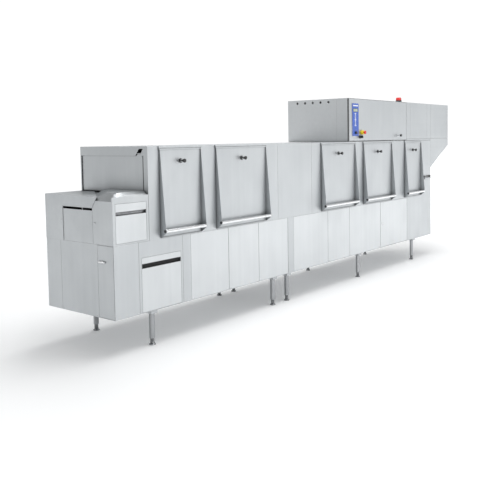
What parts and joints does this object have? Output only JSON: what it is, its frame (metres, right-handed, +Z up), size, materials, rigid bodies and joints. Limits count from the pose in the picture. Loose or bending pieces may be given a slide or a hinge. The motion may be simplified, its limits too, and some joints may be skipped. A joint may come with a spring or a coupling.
{
  "type": "commercial conveyor dishwasher",
  "caption": "Rack conveyor dishwasher: wash tunnel with lift-up access doors on base cabinets with legs, roof control cabinet and an exhaust hood over the exit.",
  "frame": {"origin": "centre of the bounding box, on the floor", "axes": "+X along the transport from the loading end to the exit, -Y the side with the access doors, +Z up"},
  "size_m": [5.6774, 0.865, 2.026],
  "materials": {
    "stainless": "brushed stainless sheet",
    "bright_steel": "polished stainless tube and fittings",
    "black_plastic": "black moulded knobs and levers",
    "blue_front": "blue control panel front",
    "yellow_plastic": "yellow emergency stop base",
    "red_plastic": "red button and beacon lens",
    "motor_paint": "grey painted motor castings"
  },
  "bodies": {
    "machine": {"leg_set_1": "stainless", "leg_set_2": "stainless", "leg_set_3": "stainless", "leg_set_4": "stainless", "leg_set_5": "stainless", "loading_base_frame": "stainless", "main_base_frame": "stainless", "base_panel_1": "stainless", "base_panel_2": "stainless", "base_panel_3": "stainless", "base_panel_4": "stainless", "base_panel_5": "stainless", "base_panel_6": "stainless", "loading_tunnel_shell": "stainless", "main_tunnel_shell": "stainless", "loading_tunnel_front": "stainless", "main_tunnel_front": "stainless", "infeed_box": "stainless", "infeed_hood": "stainless", "control_cabinet": "stainless", "signal_beacon": "red_plastic", "exhaust_hood": "stainless", "wash_tank": "stainless", "wash_pump": "motor_paint", "wash_arms": "stainless", "rinse_arms": "stainless", "rack_track": "stainless", "drive_motor": "motor_paint"},
    "access_door_1": {"access_door_1": "stainless", "door_handle_1": "bright_steel"},
    "door_knob_1": {"door_knob_1": "black_plastic"},
    "access_door_2": {"access_door_2": "stainless", "door_handle_2": "bright_steel"},
    "door_knob_2": {"door_knob_2": "black_plastic"},
    "access_door_3": {"access_door_3": "stainless", "door_handle_3": "bright_steel"},
    "door_knob_3": {"door_knob_3": "black_plastic"},
    "access_door_4": {"access_door_4": "stainless", "door_handle_4": "bright_steel"},
    "door_knob_4": {"door_knob_4": "black_plastic"},
    "access_door_5": {"access_door_5": "stainless", "door_handle_5": "bright_steel"},
    "door_knob_5": {"door_knob_5": "black_plastic"},
    "base_door": {"base_door": "stainless"},
    "base_door_lock": {"base_door_lock": "bright_steel"},
    "end_door": {"end_door": "stainless"},
    "end_door_latch": {"end_door_latch": "bright_steel"},
    "strainer_drawer": {"strainer_drawer": "stainless"},
    "infeed_strainer": {"infeed_strainer": "stainless"},
    "entrance_flap": {"entrance_flap": "stainless"},
    "cabinet_door": {"cabinet_door": "stainless", "control_panel": "blue_front", "estop_base": "yellow_plastic"},
    "cabinet_latch": {"cabinet_latch": "black_plastic"},
    "program_knob": {"program_knob": "black_plastic"},
    "estop_button": {"estop_button": "red_plastic"},
    "main_switch": {"main_switch": "black_plastic"},
    "exit_lever": {"exit_lever": "black_plastic"},
    "pawl_bar": {"pawl_bar": "stainless"},
    "drive_crank": {"drive_crank": "stainless"}
  },
  "joints": [
    {"name": "access_door_1_lift", "type": "hinge", "parent": "machine", "child": "access_door_1", "pos_m": [-2.16675, -0.3741, 1.478], "axis": [-1, 0, 0], "range_deg": [0, 85]},
    {"name": "door_knob_1_pull", "type": "slide", "parent": "access_door_1", "child": "door_knob_1", "axis": [0, -1, 0], "range_m": [0, 0.006], "stiffness_N_per_m": 400},
    {"name": "access_door_2_lift", "type": "hinge", "parent": "machine", "child": "access_door_2", "pos_m": [-1.44675, -0.3741, 1.478], "axis": [-1, 0, 0], "range_deg": [0, 85]},
    {"name": "door_knob_2_pull", "type": "slide", "parent": "access_door_2", "child": "door_knob_2", "axis": [0, -1, 0], "range_m": [0, 0.006], "stiffness_N_per_m": 400},
    {"name": "access_door_3_lift", "type": "hinge", "parent": "machine", "child": "access_door_3", "pos_m": [0.08725, -0.3741, 1.478], "axis": [-1, 0, 0], "range_deg": [0, 85]},
    {"name": "door_knob_3_pull", "type": "slide", "parent": "access_door_3", "child": "door_knob_3", "axis": [0, -1, 0], "range_m": [0, 0.006], "stiffness_N_per_m": 400},
    {"name": "access_door_4_lift", "type": "hinge", "parent": "machine", "child": "access_door_4", "pos_m": [0.91025, -0.3741, 1.478], "axis": [-1, 0, 0], "range_deg": [0, 85]},
    {"name": "door_knob_4_pull", "type": "slide", "parent": "access_door_4", "child": "door_knob_4", "axis": [0, -1, 0], "range_m": [0, 0.006], "stiffness_N_per_m": 400},
    {"name": "access_door_5_lift", "type": "hinge", "parent": "machine", "child": "access_door_5", "pos_m": [1.78525, -0.3741, 1.478], "axis": [-1, 0, 0], "range_deg": [0, 85]},
    {"name": "door_knob_5_pull", "type": "slide", "parent": "access_door_5", "child": "door_knob_5", "axis": [0, -1, 0], "range_m": [0, 0.006], "stiffness_N_per_m": 400},
    {"name": "base_door_hinge", "type": "hinge", "parent": "machine", "child": "base_door", "pos_m": [1.62375, -0.3635, 0.5], "axis": [0, 0, 1], "range_deg": [0, 110]},
    {"name": "base_door_lock_turn", "type": "hinge", "parent": "base_door", "child": "base_door_lock", "pos_m": [1.00875, -0.3675, 0.55], "axis": [0, 1, 0], "range_deg": [0, 90]},
    {"name": "end_door_hinge", "type": "hinge", "parent": "machine", "child": "end_door", "pos_m": [-2.82225, -0.3595, 0.5], "axis": [0, 0, 1], "range_deg": [0, 95]},
    {"name": "end_door_latch_turn", "type": "hinge", "parent": "end_door", "child": "end_door_latch", "pos_m": [-2.82625, -0.2385, 0.68], "axis": [1, 0, 0], "range_deg": [0, 90]},
    {"name": "strainer_drawer_pull", "type": "slide", "parent": "machine", "child": "strainer_drawer", "axis": [0, -1, 0], "range_m": [0, 0.36]},
    {"name": "infeed_strainer_pull", "type": "slide", "parent": "machine", "child": "infeed_strainer", "axis": [0, -1, 0], "range_m": [0, 0.28]},
    {"name": "entrance_flap_swing", "type": "hinge", "parent": "machine", "child": "entrance_flap", "pos_m": [-2.48625, 0.0325, 1.447], "axis": [0, -1, 0], "range_deg": [0, 75]},
    {"name": "cabinet_door_hinge", "type": "hinge", "parent": "machine", "child": "cabinet_door", "pos_m": [0.30975, -0.3625, 1.75], "axis": [0, 0, -1], "range_deg": [0, 110]},
    {"name": "cabinet_latch_turn", "type": "hinge", "parent": "cabinet_door", "child": "cabinet_latch", "pos_m": [1.39675, -0.3675, 1.565], "axis": [0, 1, 0], "range_deg": [0, 90]},
    {"name": "program_knob_turn", "type": "hinge", "parent": "cabinet_door", "child": "program_knob", "pos_m": [0.42525, -0.3675, 1.597], "axis": [0, -1, 0], "range_deg": [-135, 135]},
    {"name": "estop_button_press", "type": "slide", "parent": "cabinet_door", "child": "estop_button", "axis": [0, 1, 0], "range_m": [0, 0.005], "stiffness_N_per_m": 800},
    {"name": "main_switch_turn", "type": "hinge", "parent": "cabinet_door", "child": "main_switch", "pos_m": [0.52575, -0.3675, 1.553], "axis": [0, -1, 0], "range_deg": [0, 90]},
    {"name": "exit_lever_lift", "type": "hinge", "parent": "machine", "child": "exit_lever", "pos_m": [2.07875, -0.3675, 1.039], "axis": [0, -1, 0], "range_deg": [0, 30]},
    {"name": "pawl_bar_stroke", "type": "slide", "parent": "machine", "child": "pawl_bar", "axis": [1, 0, 0], "range_m": [0, 0.2]},
    {"name": "drive_crank_turn", "type": "hinge", "parent": "machine", "child": "drive_crank", "pos_m": [1.83375, 0.0325, 1.0305], "axis": [0, 0, 1], "continuous": true}
  ]
}
